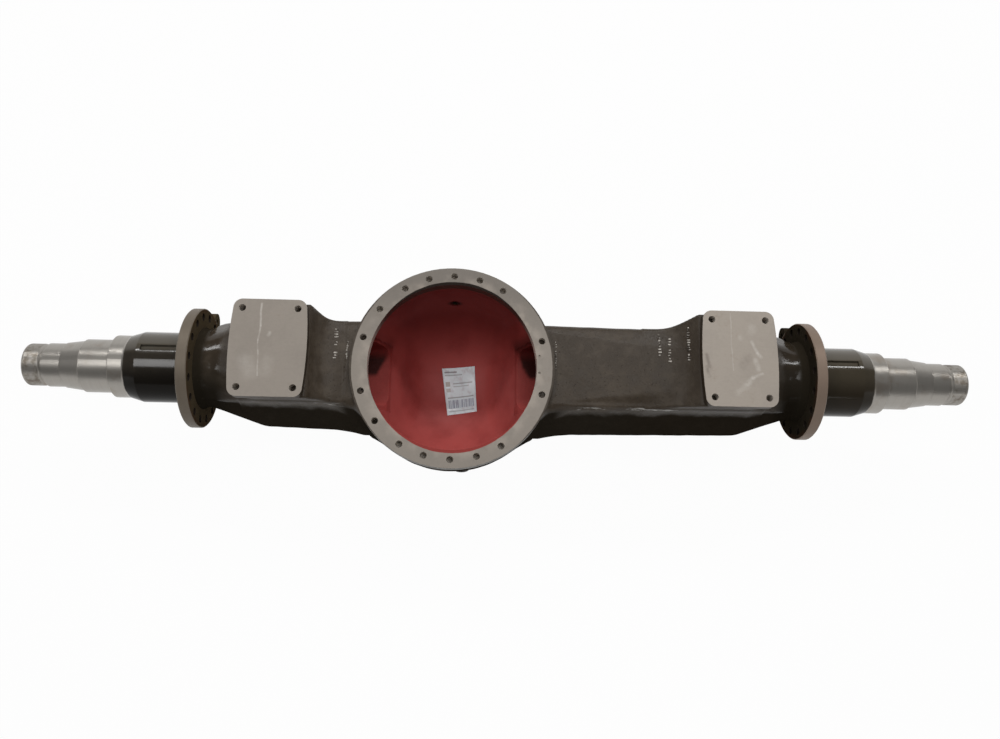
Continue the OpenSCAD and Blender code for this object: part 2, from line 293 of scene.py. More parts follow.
def make_cast_paint_group():
    """Paint over a rough casting: broad mottling, fine pores and dust.

    Colour is the paint times two noises, darkened in pores and lightened by dust.
    Height is sand grain and lumps, sunk in the pores.
    """
    w, entry, end = new_group(
        "cast_paint",
        {"Vector": "Vector", "Paint": "Color", "Dust": "Color", "Grain": "Float", "Dust amount": "Float"},
        {"Color": "Color", "Roughness": "Float", "Height": "Float"})
    where = entry["Vector"]
    broad = w.noise(where, 9.0, 3.0, 0.55)
    patch = w.noise(where, 46.0, 4.0, 0.6)
    sand = w.noise(where, 420.0, 3.0, 0.6)
    lump = w.noise(where, 130.0, 2.0, 0.5)
    pore = w.step(w.noise(where, 260.0, 1.0, 0.5), 0.34, 0.26)
    shade = w.add(w.scaled(broad, 0.82, 1.16), w.scaled(patch, -0.14, 0.14))
    tint = w.shaded(entry["Paint"], shade)
    tint = w.mix(w.mul(pore, 0.45), tint, (0.006, 0.005, 0.004))
    dust = w.mul(w.step(w.add(w.mul(patch, 0.6), w.mul(broad, 0.5)), 0.5, 0.72), entry["Dust amount"])
    w.put(end["Color"], w.mix(dust, tint, entry["Dust"]))
    w.put(end["Roughness"], w.add(w.scaled(patch, 0.30, 0.50), w.mul(dust, 0.35)))
    height = w.add(w.mul(sand, 0.35), w.add(w.mul(lump, 0.8), w.mul(pore, -0.5)))
    w.put(end["Height"], w.mul(height, entry["Grain"]))


def make_bare_iron_group():
    """Machined iron: faint tool lines across Y, blotches, and fine grey pits.

    Colour is the bare tone times blotches and lines. Height is the lines alone.
    """
    w, entry, end = new_group(
        "bare_iron",
        {"Vector": "Vector", "Bare": "Color", "Stain": "Color", "Lines": "Float", "Stain amount": "Float"},
        {"Color": "Color", "Roughness": "Float", "Height": "Float"})
    where = entry["Vector"]
    blotch = w.noise(where, 16.0, 4.0, 0.62)
    fine = w.noise(where, 150.0, 3.0, 0.6)
    lines = w.noise(w.stretch(where, 60.0, 1400.0, 60.0), 1.0, 2.0, 0.5)
    lined = w.mul(w.scaled(lines, -0.06, 0.06), entry["Lines"])
    shade = w.add(w.scaled(blotch, 0.84, 1.14), w.add(w.scaled(fine, -0.07, 0.07), lined))
    tint = w.shaded(entry["Bare"], shade)
    stain = w.mul(w.step(w.add(w.mul(blotch, 0.7), w.mul(fine, 0.3)), 0.54, 0.74), entry["Stain amount"])
    w.put(end["Color"], w.mix(stain, tint, entry["Stain"]))
    w.put(end["Roughness"], w.scaled(blotch, 0.42, 0.58))
    w.put(end["Height"], w.mul(lines, entry["Lines"]))


def make_streak_group():
    """Mask of a stroke from Start to End: 1 on the line, fading over Width, broken up by noise."""
    w, entry, end = new_group(
        "streak",
        {"Vector": "Vector", "Start": "Vector", "End": "Vector", "Width": "Float", "Break-up": "Float"},
        {"Mask": "Float"})
    where = entry["Vector"]
    wobble = w.node("TexNoise", {"Vector": where, "Scale": 28.0, "Detail": 2.0}).outputs[1]
    shift = w.vector("SUBTRACT", wobble, (0.5, 0.5, 0.5))
    where = w.vector("ADD", where, w.stretch(shift, 0.005, 0.005, 0.0))
    along = w.vector("SUBTRACT", entry["End"], entry["Start"])
    out = w.vector("SUBTRACT", where, entry["Start"])
    square = w.vector("DOT_PRODUCT", along, along)
    share = w.math("DIVIDE", w.vector("DOT_PRODUCT", out, along), square, clamp=True)
    foot = w.node("VectorMath", {0: along, "Scale": share}, operation="SCALE").outputs[0]
    away = w.vector("DISTANCE", out, foot)
    line = w.step(away, entry["Width"], 0.0)
    rough = w.step(w.noise(where, 120.0, 3.0, 0.6), 0.35, 0.62)
    keep = w.add(w.sub(1.0, entry["Break-up"]), w.mul(rough, entry["Break-up"]))
    w.put(end["Mask"], w.mul(line, keep))


def new_material(name):
    """The wires of a node material that has no shader yet, and its Object coordinates."""
    made = bpy.data.materials.new(name)
    made.use_nodes = True
    made.node_tree.nodes.clear()
    w = Wires(made.node_tree, made)
    return w, w.node("TexCoord").outputs["Object"]


def bump(w, height, strength, distance):
    return w.node("Bump", {"Strength": strength, "Distance": distance, "Height": height}).outputs[0]


def paint_on(w, where, paint, grain=1.0, dust=0.14):
    return use_group(w, "cast_paint", {
        "Vector": where, "Paint": paint, "Dust": tone(118, 108, 96),
        "Grain": grain, "Dust amount": dust})


def iron_on(w, where, bare, lines=1.0, stain=0.4):
    return use_group(w, "bare_iron", {
        "Vector": where, "Bare": bare, "Stain": tone(104, 92, 80),
        "Lines": lines, "Stain amount": stain})


def dress(name, material):
    """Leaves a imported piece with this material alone."""
    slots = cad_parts[name].data.materials
    slots.clear()
    slots.append(material)


def mesh_piece(name, points, faces, material):
    """A new piece with one material, from points and faces."""
    mesh = bpy.data.meshes.new(name)
    mesh.from_pydata(points.tolist(), [], faces.tolist())
    mesh.materials.append(material)
    piece = bpy.data.objects.new(name, mesh)
    bpy.context.scene.collection.objects.link(piece)
    return piece


def cell_corners(values, wrap=True):
    """The values at the four corners of each cell of a grid; with wrap, each row closes on itself."""
    if wrap:
        values = np.hstack([values, values[:, :1]])
    return np.stack([values[:-1, :-1], values[1:, :-1], values[1:, 1:], values[:-1, 1:]], -1)


def grid_piece(name, points, material, wrap=False, keep=None, uv=False):
    """A smooth piece from a grid of points, with a face to each cell, or to each cell in keep."""
    rows, columns = points.shape[:2]
    faces = cell_corners(np.arange(rows * columns).reshape(rows, columns), wrap)
    if keep is not None:
        faces = faces[keep]
    faces = faces.reshape(-1, 4)
    piece = mesh_piece(name, points.reshape(-1, 3), faces, material)
    mesh = piece.data
    mesh.polygons.foreach_set("use_smooth", np.ones(len(faces), bool))
    if uv:
        u, v = np.meshgrid(np.linspace(0, 1, rows), np.linspace(0, 1, columns), indexing="ij")
        flat = np.stack([u, v], -1).reshape(-1, 2)
        layer = mesh.uv_layers.new(name="UVMap")
        layer.data.foreach_set("uv", flat[faces.reshape(-1)].astype(np.float32).ravel())
    mesh.update()
    return piece


def soft_max(a, b, reach):
    """The larger of two values, rounded upward where they come within reach of each other."""
    return np.maximum(a, b) + np.maximum(reach - np.abs(a - b), 0) ** 2 / (4 * reach)


def slice_support(phi, grow):
    """Support distance of an arm's section, stretched over four circles, at angle phi from the front."""
    out = []
    for s in (-1, 1):
        out.append((ARM_LEAN + s * (ARM_FRONT_HALF - ARM_FRONT_R + grow)) * np.sin(phi)
                   + (ARM_FRONT - ARM_FRONT_R) * np.cos(phi) + ARM_FRONT_R)
        out.append((s * (ARM_BACK_HALF - ARM_BACK_R + grow) - ARM_LEAN) * np.sin(phi)
                   + (ARM_BACK_R - ARM_BACK - grow) * np.cos(phi) + ARM_BACK_R)
    return np.max(out, axis=0)


def arm_support(x, phi, side):
    """Support distance of an arm at each x: the upper straight-line envelope of its four stations."""
    q = side * x
    flange = side * (MID_X + side * FLANGE_OUT)
    pad = side * (MID_X + side * PAD_OUT)
    stations = [
        (ARM_ROOT, slice_support(phi, ARM_FLARE)),
        (pad + 30, slice_support(phi, 0)),
        (flange - 36, (NECK_R - 9) * np.sin(phi) + 33),
        (flange, np.full_like(phi, NECK_R)),
    ]
    span = np.clip(q, ARM_ROOT, flange)[:, None]
    best = np.full((len(x), len(phi)), -np.inf)
    for i, (from_q, from_h) in enumerate(stations):
        for to_q, to_h in stations[i + 1:]:
            share = (span - from_q) / (to_q - from_q)
            line = from_h + share * (to_h - from_h)
            best = np.where((share >= 0) & (share <= 1), np.maximum(best, line), best)
    return best


def arm_reach(x, theta, side):
    """Distance from the axle line to an arm's surface: the nearest of its tangent lines along each ray."""
    phi = np.linspace(0, 2 * np.pi, 192, endpoint=False)
    support = np.mean([arm_support(x + shift, phi, side) for shift in (-8, -4, 0, 4, 8)], axis=0)
    facing = np.cos(phi[None, :] - theta[:, None])
    facing = np.where(facing > 0.05, facing, np.nan).astype(np.float32)
    return np.nanmin(support.astype(np.float32)[:, None, :] / facing[None], axis=2).astype(float)


def bowl_reach(x, theta, skin):
    """Distance from the axle line to the bowl: a ball, cut by sloping side walls and a roof in the ring."""
    out = np.abs(x)[:, None]
    ball = np.sqrt(np.maximum((BOWL_R + skin) ** 2 - out ** 2, 0)) + 0 * theta
    ahead = np.cos(theta)[None, :] + 0 * out
    slope = BOWL_TAPER * np.maximum(-ahead, LEVEL)
    wall = np.where(ahead < -LEVEL, (BOWL_WAIST + 1.1 * skin - out) / slope, FAR)
    roof = np.where(ahead > LEVEL, SKIN_ROOF / np.maximum(ahead, LEVEL), FAR)
    return np.maximum(np.minimum(np.minimum(ball, wall), roof), 0)


def pad_reach(x, theta, side, skin):
    """Distance from the axle line to a pad's block.

    Its top is flat under the slab, falls to the arm along a hollow arc and drops behind the pad's middle.
    Its sides run from a foot on the arm up to the top, whose width eases to the arm's width.
    """
    ramp = RAMPS[side]
    rise = PAD_TOP - PAD_T - AXLE_Z - ARM_FRONT
    arc_r = (ramp ** 2 + rise ** 2) / (2 * rise)
    foot_half, foot_w = 76 + skin, 37
    drop_from, drop_long, drop = 28, 34, 34
    half_least, widened, narrowed = 78 + skin, 18, 26
    grazing, block_end = 0.05, 66
    inward = -side * (x - MID_X - side * PAD_OUT)[:, None]
    left = np.clip(PAD_W / 2 + ramp - inward, 0, ramp)
    ease = (left / ramp) ** 1.7
    back = np.clip((-drop_from - inward) / drop_long, 0, 1) ** 2
    top = ARM_FRONT + skin + arc_r - np.sqrt(arc_r ** 2 - left ** 2) - drop * back
    half = half_least + widened * ease - narrowed * back
    middle = ARM_LEAN + (PAD_Y - ARM_LEAN) * ease
    sin, cos = np.sin(theta)[None, :], np.cos(theta)[None, :]
    reach = np.where(cos > grazing, top / np.maximum(cos, grazing), 0)
    for s in (-1, 1):
        low_u, high_u = ARM_LEAN + s * foot_half, middle + s * half
        n_u, n_w = s * (top - foot_w), -s * (high_u - low_u)
        size = np.hypot(n_u, n_w)
        n_u, n_w = n_u / size, n_w / size
        facing = n_u * sin + n_w * cos
        edge = np.where(facing > 0.03, (n_u * low_u + n_w * foot_w) / np.maximum(facing, 0.03), FAR)
        reach = -soft_max(-reach, -edge, 9.0)
    inside = (inward < PAD_W / 2 + ramp) & (inward > -block_end) & (cos > grazing)
    return np.where(inside, np.maximum(reach, 0), 0)


def collar_reach(x):
    """Radius of the collars: a parabola that rises toward each brake flange."""
    least, rise, long = 73, 12.5, 40
    out = np.zeros_like(x)
    for side in SIDES.values():
        away = np.abs(x - MID_X - side * FLANGE_OUT)
        out = np.maximum(out, np.where(away < long, least + rise * (1 - away / long) ** 2, 0))
    return out[:, None]


def ripple(x, theta, size):
    """Gentle unevenness: a sum of crossing waves with set phases, about plus or minus size."""
    draw = np.random.default_rng(11)
    out = np.zeros((len(x), len(theta)))
    for _ in range(26):
        length = draw.uniform(28, 140)
        turns = draw.integers(0, 12)
        out += np.sin(2 * np.pi * x[:, None] / length + turns * theta[None, :] + draw.uniform(0, 6.283))
    return out * size / 4


def skin_stations():
    """Places of the skin's rings of points along the axle, closer at the pads, collars and bowl edges."""
    ends = [MID_X - FLANGE_OUT, MID_X + FLANGE_OUT]
    x = np.linspace(ends[0], ends[1], 2000)
    dense = np.full_like(x, 1 / 5.0)
    for side in SIDES.values():
        pad, flange = MID_X + side * PAD_OUT, MID_X + side * FLANGE_OUT
        dense += 0.22 * np.exp(-((x - flange) / 26) ** 2)
        dense += 0.16 * np.exp(-((x - pad - side * 58) / 18) ** 2)
        dense += 0.10 * np.exp(-((x - pad + side * 110) / 60) ** 2)
        dense += 0.14 * np.exp(-((x - side * 178) / 36) ** 2)
    total = np.concatenate([[0], np.cumsum((dense[1:] + dense[:-1]) / 2 * np.diff(x))])
    return np.interp(np.linspace(0, total[-1], int(total[-1]) + 1), total, x)


def skin_rays():
    """Directions of the skin's rays round the axle line, closer toward the front, where the edges are."""
    turn = np.linspace(-np.pi, np.pi, 2001)
    dense = 1 + 1.2 / (1 + np.exp((np.abs(turn) - 1.45) / 0.08))
    total = np.concatenate([[0], np.cumsum((dense[1:] + dense[:-1]) / 2)])
    return np.interp(np.linspace(0, total[-1], 256, endpoint=False), total, turn)


def cast_skin_points(sizes):
    """Grid of the casting's outer skin: rays from the axle line to the soft union of its forms.

    The forms are arms, bowl, pad blocks and collars. The arms get a flare low at the root, a slight crown
    across the front and a raised lip along the front's lower edge. Cells under the ring are left out.
    """
    skin = sizes.skin / MM
    root_end, root_long, flare = 264, 78, 9
    crown, lip_y, lip_wide, lip_high = 5, -72, 4.5, 2.4
    arm_from, lip_from, lip_fade = 60, 200, 40
    upper_cut, collar_fillet, calm_long = 0.78, 8.0, 30
    hidden_r, hidden_w = 190, 44
    x = skin_stations()
    theta = skin_rays()
    out = np.abs(x)[:, None]
    sin, cos = np.sin(theta), np.cos(theta)
    arm = np.where((x < 0)[:, None], arm_reach(x, theta, -1), arm_reach(x, theta, 1)) + skin
    root = np.clip((root_end - out) / root_long, 0, 1) ** 2
    lower = np.clip(-sin * 1.6 - 0.4, 0, 1)
    upper = np.clip(sin * 1.6 - 0.1, 0, 1)
    arm = arm + flare * root * lower
    arm = np.where(out > arm_from, arm, 0)
    across = np.clip((arm * sin - ARM_LEAN) / ARM_FRONT_HALF, -1, 1)
    arm = arm + crown * (1 - across ** 2) * np.clip(cos, 0, 1)
    lip = np.exp(-((arm * sin - lip_y) / lip_wide) ** 2) * (cos > 0.4)
    arm = arm + lip_high * lip * np.clip((out - lip_from) / lip_fade, 0, 1)
    fillet = sizes.fillet / MM * (1 - upper_cut * upper)
    reach = soft_max(arm, bowl_reach(x, theta, skin), fillet[None, :])
    for side in SIDES.values():
        reach = soft_max(reach, pad_reach(x, theta, side, skin), sizes.pad_fillet / MM)
    reach = soft_max(reach, collar_reach(x) + 0 * theta, collar_fillet)
    calm = np.clip((FLANGE_OUT - np.abs(x - MID_X)) / calm_long, 0, 1)[:, None]
    reach = reach + ripple(x, theta, sizes.ripple / MM) * calm
    u, w = reach * sin, reach * cos
    points = np.stack([x[:, None] + 0 * u, u, w + AXLE_Z], -1)
    hidden = (np.hypot(points[..., 0], u) < hidden_r) & (w > hidden_w)
    return points * MM, ~cell_corners(hidden).all(-1)


def lining_points():
    """Grid of the bowl's smooth red lining: rays from its middle to the soft meeting of ball and walls.

    Cells in and round the arms' mouths and the wall's holes are left out, so the solid's edges show.
    """
    meeting, mouth_from, margin = 26.0, 100, 2
    steep = np.concatenate([np.linspace(0, 60, 40), np.linspace(61, 105.6, 62)])
    alpha = np.radians(steep)[:, None]
    beta = np.linspace(0, 2 * np.pi, 300, endpoint=False)[None, :]
    flat = np.sin(alpha)
    ray = np.stack([flat * np.cos(beta), flat * np.sin(beta), -np.cos(alpha) + 0 * beta], -1)
    lean = np.abs(ray[..., 0]) - BOWL_TAPER * ray[..., 2]
    wall = np.where(lean > 0.05, BOWL_WAIST_IN / np.maximum(lean, 0.05), FAR)
    ball = np.full(wall.shape, BOWL_INNER_R - LINING_GAP)
    reach = -soft_max(-ball, LINING_GAP - wall, meeting)
    points = ray * reach[..., None]
    x, y, z = np.moveaxis(points, -1, 0)
    clear = np.maximum(np.abs(y) - MOUTH_HALF_Y, np.abs(z + MOUTH_DROP) - MOUTH_HALF_Z)
    clear = np.where(np.abs(x) > mouth_from, clear, FAR)
    for up, angle, hole_x, radius in WALL_HOLES:
        angle = math.radians(angle)
        away = points - (hole_x, 0, 0)
        along = away @ np.array([0, up * math.cos(angle), -math.sin(angle)])
        aside = np.sqrt(np.maximum((away ** 2).sum(-1) - along ** 2, 0)) - radius
        clear = np.where(along > 0, np.minimum(clear, aside), clear)
    points[..., 2] = np.minimum(z, SKIN_ROOF + LINING_GAP) + AXLE_Z
    keep = cell_corners(clear).min(-1) > margin
    return points[::-1] * MM, keep[::-1]


def cast_marks(points):
    """Boxes for the worn raised marks: columns of plain bars, each set on the skin at its own place."""
    draw = np.random.default_rng(5)
    rows = []
    for x, y_high, y_low, wide, step in MARK_COLUMNS:
        y = np.arange(y_high, y_low, -step)
        y = y[draw.random(len(y)) > 0.16]
        size = wide * draw.uniform(0.45, 1.0, len(y))
        place = x + draw.uniform(-0.8, 0.8, len(y))
        rows.append(np.stack([place, y, size, draw.uniform(2.4, 3.6, len(y))], -1))
    x, y, wide, high = np.concatenate(rows).T
    row = np.clip(np.searchsorted(points[:, 0, 0], x * MM), 0, len(points) - 1)
    front = np.abs(skin_rays()) < 1.1
    z = np.array([np.interp(v * MM, points[r, front, 1], points[r, front, 2]) for r, v in zip(row, y)]) / MM
    corner = np.array([[i, j, k] for k in (-1, 1) for j in (-1, 1) for i in (-1, 1)], float)
    half = np.stack([wide / 2, high / 2, np.full_like(wide, 1.1)], -1)
    boxes = np.stack([x, y, z], -1)[:, None] + corner * half[:, None]
    quads = np.array([[0, 2, 3, 1], [4, 5, 7, 6], [0, 1, 5, 4], [2, 6, 7, 3], [0, 4, 6, 2], [1, 3, 7, 5]])
    return boxes.reshape(-1, 3) * MM, (quads + 8 * np.arange(len(x))[:, None, None]).reshape(-1, 4)


def casting_paint():
    """Paint of the cast skin: a glossy band on the necks, darker paint there with painted shade toward its
    lower side, painted shade in the corners beside the flanges, and painted shade below, where it is also
    dull.

    It has a painted highlight in places along the front's lower edge, and painted shade toward the right
    pad. All places are in metres.
    """
    w, where = new_material("casting_paint")
    paint = paint_on(w, where, bpy.context.scene.housing_colours.paint)
    x, y, z = w.xyz(where)
    out = w.absolute(w.sub(x, MID_X * MM))
    neck = w.step(out, 0.548, 0.585)
    gloss = w.both(w.step(out, 0.566, 0.580), w.step(out, 0.612, 0.602))
    corner = w.step(out, 0.598, 0.611)
    ragged = w.ragged(where, 20.0, 0.03)
    # Painted shade: the undersides, the face under the ring and the necks' lower side get darker, duller
    # paint
    under_ring = w.both(w.step(w.absolute(x), 0.25, 0.21), w.step(z, -0.018, -0.03))
    low = w.either(w.step(w.add(z, ragged), -0.026, -0.048), under_ring)
    low = w.mul(low, w.step(w.add(y, ragged), -0.045, -0.07))
    low = w.either(low, w.mul(neck, w.step(y, 0.0, -0.06)))
    # The necks' paint is darker, and darker still toward their lower side as painted shade; more on the
    # left than the right
    dark_tone_and_shade = w.both(neck, w.scaled(w.step(y, 0.04, -0.01), 0.25, 0.75))
    dark_tone_and_shade = w.mul(dark_tone_and_shade, w.scaled(w.step(x, 0.0, -0.1), 1.2, 0.45))
    colour = w.tint(paint["Color"], low, 0.84, 42, 38, 32)
    colour = w.mix(dark_tone_and_shade, colour, tone(30, 27, 22))
    # Painted shade: the front darker toward the right pad
    colour = w.tint(colour, w.step(x, 0.3, 0.45), 0.3, 42, 35, 26)
    # Painted shade in the corners where the necks meet the flanges
    colour = w.tint(colour, corner, 0.7, 38, 34, 27)
    # A painted highlight: pale broken glints along the front's lower edge, on the right arm and faintly on
    # the left
    edge_y = w.sub(w.mul(w.absolute(x), 0.0128), 0.0835)
    edge = w.length(w.sub(y, edge_y), w.add(z, 0.0215))
    glint = w.step(w.noise(w.stretch(where, 40.0, 160.0, 160.0), 1.0, 3.0, 0.6), 0.5, 0.66)
    right = w.both(w.step(x, 0.23, 0.26), w.step(x, 0.50, 0.47))
    left = w.both(w.step(x, -0.29, -0.27), w.step(x, -0.2, -0.22))
    ridge_glint = w.both(w.step(edge, 0.0062, 0.002), glint, w.either(right, w.mul(left, 0.6)))
    return w.principled({
        "Base Color": w.tint(colour, ridge_glint, 0.75, 196, 194, 188),
        "Roughness": w.mul(paint["Roughness"], w.scaled(gloss, 1.0, 0.28)),
        "Normal": bump(w, w.mul(paint["Height"], w.scaled(neck, 1.0, 0.14)), 0.55, 0.0012),
        "Specular IOR Level": w.scaled(w.either(low, corner), 0.22, 0.0)})


def primer_colour(w, where):
    """Red primer with clouds and specks, painted shade toward the top and on the arms' tunnel walls, a
    painted shadow in the arms' mouths, and a dark ring round the breather.
    """
    x, y, z = w.xyz(where)
    out = w.absolute(x)
    primer = bpy.context.scene.housing_colours.primer
    cloud = w.step(w.noise(where, 14.0, 3.0, 0.5), 0.4, 0.75)
    speck = w.step(w.noise(where, 300.0, 2.0), 0.56, 0.7)
    side = w.both(w.step(out, 0.132, 0.142), w.step(z, -0.128, -0.138))
    ragged = w.ragged(where, 40.0, 0.03)
    # A painted shadow in the upper part of each arm's mouth, bounded by a slanting line
    slant = w.add(w.add(y, w.mul(out, 2.0)), ragged)
    mouth_shadow = w.both(
        w.step(slant, 0.328, 0.352), w.step(y, 0.0, 0.014),
        w.step(y, 0.105, 0.07), w.step(out, 0.118, 0.135))
    upper = w.scaled(w.step(x, -0.05, 0.05), 0.35, 0.7)
    mouth_shadow = w.mul(mouth_shadow, w.scaled(w.step(y, 0.064, 0.04), upper, 0.92))
    # A dark ring round the breather hole
    breather_dark_ring = w.step(w.length(w.mul(x, 0.5), w.sub(y, 0.175), w.add(z, 0.135)), 0.011, 0.004)
    red = w.tint(primer, cloud, 0.5, 128, 40, 37)
    red = w.tint(red, speck, 0.2, 164, 82, 76)
    # Painted shade: darker toward the top of the bowl
    red = w.tint(red, w.step(y, 0.03, 0.16), 0.74, 88, 25, 22)
    # Painted shade on the tunnels' back walls, beside the mouths
    red = w.tint(red, side, 0.5, 120, 46, 42)
    red = w.mix(mouth_shadow, red, tone(36, 11, 7))
    return w.tint(red, breather_dark_ring, 0.85, 22, 6, 4)


def lining_finish():
    """Primer on the bowl's lining, with a light orange-peel grain."""
    w, where = new_material("lining_finish")
    patch = w.noise(where, 30.0, 3.0)
    return w.principled({
        "Base Color": primer_colour(w, where),
        "Roughness": w.scaled(patch, 0.42, 0.6),
        "Specular IOR Level": 0.3,
        "Normal": bump(w, w.noise(where, 240.0, 3.0), 0.35, 0.0008)})


def mark_finish():
    """Paint worn to pale iron on the tops of the raised marks."""
    w, where = new_material("mark_finish")
    paint = paint_on(w, where, bpy.context.scene.housing_colours.paint)
    worn = w.step(w.noise(where, 90.0, 3.0, 0.6), 0.42, 0.58)
    return w.principled({
        "Base Color": w.tint(paint["Color"], worn, 0.85, 188, 181, 172),
        "Roughness": paint["Roughness"],
        "Normal": bump(w, paint["Height"], 0.3, 0.0006)})


def casting_masks(w, x, y, z):
    """Where the solid casting is faced, bored, primed or drilled, from the places of those features."""
    near = 0.3 * MM
    radius = w.length(x, y)
    ball = w.length(x, y, w.add(z, -AXLE_Z * MM))
    pad_face = w.over(z, PAD_TOP * MM - near)
    ring_face = w.both(w.over(z, -near), w.under(radius, (RING_R + 1) * MM))
    pilot = w.both(w.under(radius, (OPENING_R + 0.4) * MM), w.over(z, -(PILOT_DEPTH + 0.5) * MM))
    tunnel_z = w.absolute(w.add(z, (MOUTH_DROP - AXLE_Z) * MM))
    tunnel = w.both(
        w.under(w.absolute(y), (MOUTH_HALF_Y + 1) * MM), w.under(tunnel_z, (MOUTH_HALF_Z + 0.5) * MM))
    inside = w.either(w.under(ball, (BOWL_INNER_R + 1) * MM), tunnel)
    inside = w.both(inside, w.sub(1.0, pilot))
    pad_x = w.sub(w.absolute(w.sub(x, MID_X * MM)), PAD_OUT * MM)
    hole_x = w.sub(w.absolute(pad_x), PAD_HOLE_X * MM)
    hole_y = w.sub(w.absolute(w.sub(y, PAD_Y * MM)), PAD_HOLE_Y * MM)
    pad_hole = w.both(
        w.under(w.length(hole_x, hole_y), (PAD_HOLE_R + 0.4) * MM),
        w.under(z, PAD_TOP * MM - near), w.over(z, (PAD_TOP - PAD_HOLE_DEPTH - 1) * MM))
    ring_hole = w.both(
        w.over(radius, (BOLT_R - 14.5) * MM), w.under(radius, (BOLT_R + 10.5) * MM),
        w.under(z, -near), w.over(z, -(BOLT_DEPTH + 0.5) * MM))
    return radius, pad_face, ring_face, pilot, inside, w.either(pad_hole, ring_hole)


def with_strokes(w, where, colour):
    """A pad's bare colour with its rubbed strokes over it."""
    for x0, y0, x1, y1, wide, broken, tint, strength in PAD_STROKES:
        mask = use_group(w, "streak", {
            "Vector": where, "Start": (x0 * MM, y0 * MM, PAD_TOP * MM),
            "End": (x1 * MM, y1 * MM, PAD_TOP * MM), "Width": wide * MM, "Break-up": broken})["Mask"]
        colour = w.mix(w.mul(mask, strength), colour, tint)
    return colour


def casting_finish():
    """Finish of the solid casting: bare ring, pads and tapped holes, red primer inside, paint elsewhere.

    Paint and primer lap over the ring's outer and inner edges, along ellipses: the inner lap is darkened
    toward the top as painted shade, and the outer lap partly stands in for the shade of the ring's edge.
    """
    w, where = new_material("casting_finish")
    colours = bpy.context.scene.housing_colours
    x, y, z = w.xyz(where)
    radius, pad_face, ring_face, pilot, inside, hole = casting_masks(w, x, y, z)
    face = w.either(pad_face, ring_face)
    paint = paint_on(w, where, colours.paint)
    iron = iron_on(w, where, colours.bare)
    level = w.add(w.mul(pad_face, 0.18), w.mul(w.over(x, 0.4), 0.3))
    # Painted shade and light: the ring face darker toward the top and lighter toward the bottom
    level = w.sub(level, w.both(ring_face, w.scaled(w.step(y, 0.02, 0.19), -0.08, 0.22)))
    bare = w.node("HueSaturation", {"Value": w.add(0.92, level), "Color": iron["Color"]}).outputs[0]
    wiped = w.both(
        ring_face, w.step(radius, 0.199, 0.178), w.step(w.noise(where, 24.0, 3.0), 0.42, 0.64))
    bare = w.tint(bare, wiped, 0.34, 182, 170, 158)
    bare = with_strokes(w, where, bare)
    bore = w.mix(w.noise(where, 60.0), tone(206, 198, 188), tone(176, 166, 154))
    # Painted shade: the pilot bore's wall darker toward the top
    bore = w.mix(w.step(y, 0.03, 0.11), bore, tone(66, 44, 36))
    # Tapped holes in bright metal, made lighter than the faces, partly as painted light deep in the holes
    hole_metal = w.mix(w.noise(where, 500.0), tone(216, 208, 198), tone(150, 142, 132))

    colour = w.mix(inside, paint["Color"], primer_colour(w, where))
    colour = w.mix(pilot, colour, bore)
    colour = w.mix(hole, colour, hole_metal)
    colour = w.mix(face, colour, bare)
    wobble = w.ragged(where, 36.0, 0.012)
    inner = w.add(w.length(w.mul(x, 1 / 0.1695), w.mul(y, 1 / 0.178)), wobble)
    outer = w.add(w.length(w.mul(x, 1 / 0.2035), w.mul(y, 1 / 0.2100)), wobble)
    # Primer lapping over the ring's inner edge, darkened toward the top as painted shade
    lap = w.both(ring_face, w.step(inner, 1.004, 0.996))
    lap_primer_and_shade = w.mix(w.step(y, -0.05, 0.1), tone(140, 56, 52), tone(26, 17, 11))
    colour = w.mix(lap, colour, lap_primer_and_shade)
    # Paint lapping over the ring's outer edge at the sides, partly standing in for the shade of its edge
    colour = w.mix(w.both(ring_face, w.step(outer, 0.996, 1.004)), colour, paint["Color"])
    rough = w.blend(inside, paint["Roughness"], 0.5)
    thread = w.mul(w.math("SINE", w.mul(z, 2 * math.pi / (2.2 * MM))), 0.8)
    height = w.blend(face, paint["Height"], w.mul(iron["Height"], 0.12))
    return w.principled({
        "Base Color": colour,
        "Roughness": w.blend(face, rough, iron["Roughness"]),
        "Metallic": w.mul(w.either(face, pilot), 0.08),
        "Specular IOR Level": w.scaled(w.sub(face, lap), 0.1, 0.3),
        "Normal": bump(w, w.blend(hole, height, thread), 0.5, 0.001)})


def end_places(w, where):
    """Places on the ends: y, z, distance beyond a flange's inner face, radius, and 1 on the right."""
    x, y, z = w.xyz(where)
    out = w.sub(w.absolute(w.sub(x, MID_X * MM)), FLANGE_OUT * MM)
    radius = w.length(y, w.add(z, -AXLE_Z * MM))
    return y, z, out, radius, w.over(x, MID_X * MM)


def turned_lines(w, out, y, z, fine, coarse, detail):
    """Noise drawn out round the axle line, like the marks of a lathe."""
    return w.noise(w.join(w.mul(out, fine), w.mul(y, coarse), w.mul(z, coarse)), 1.0, detail)


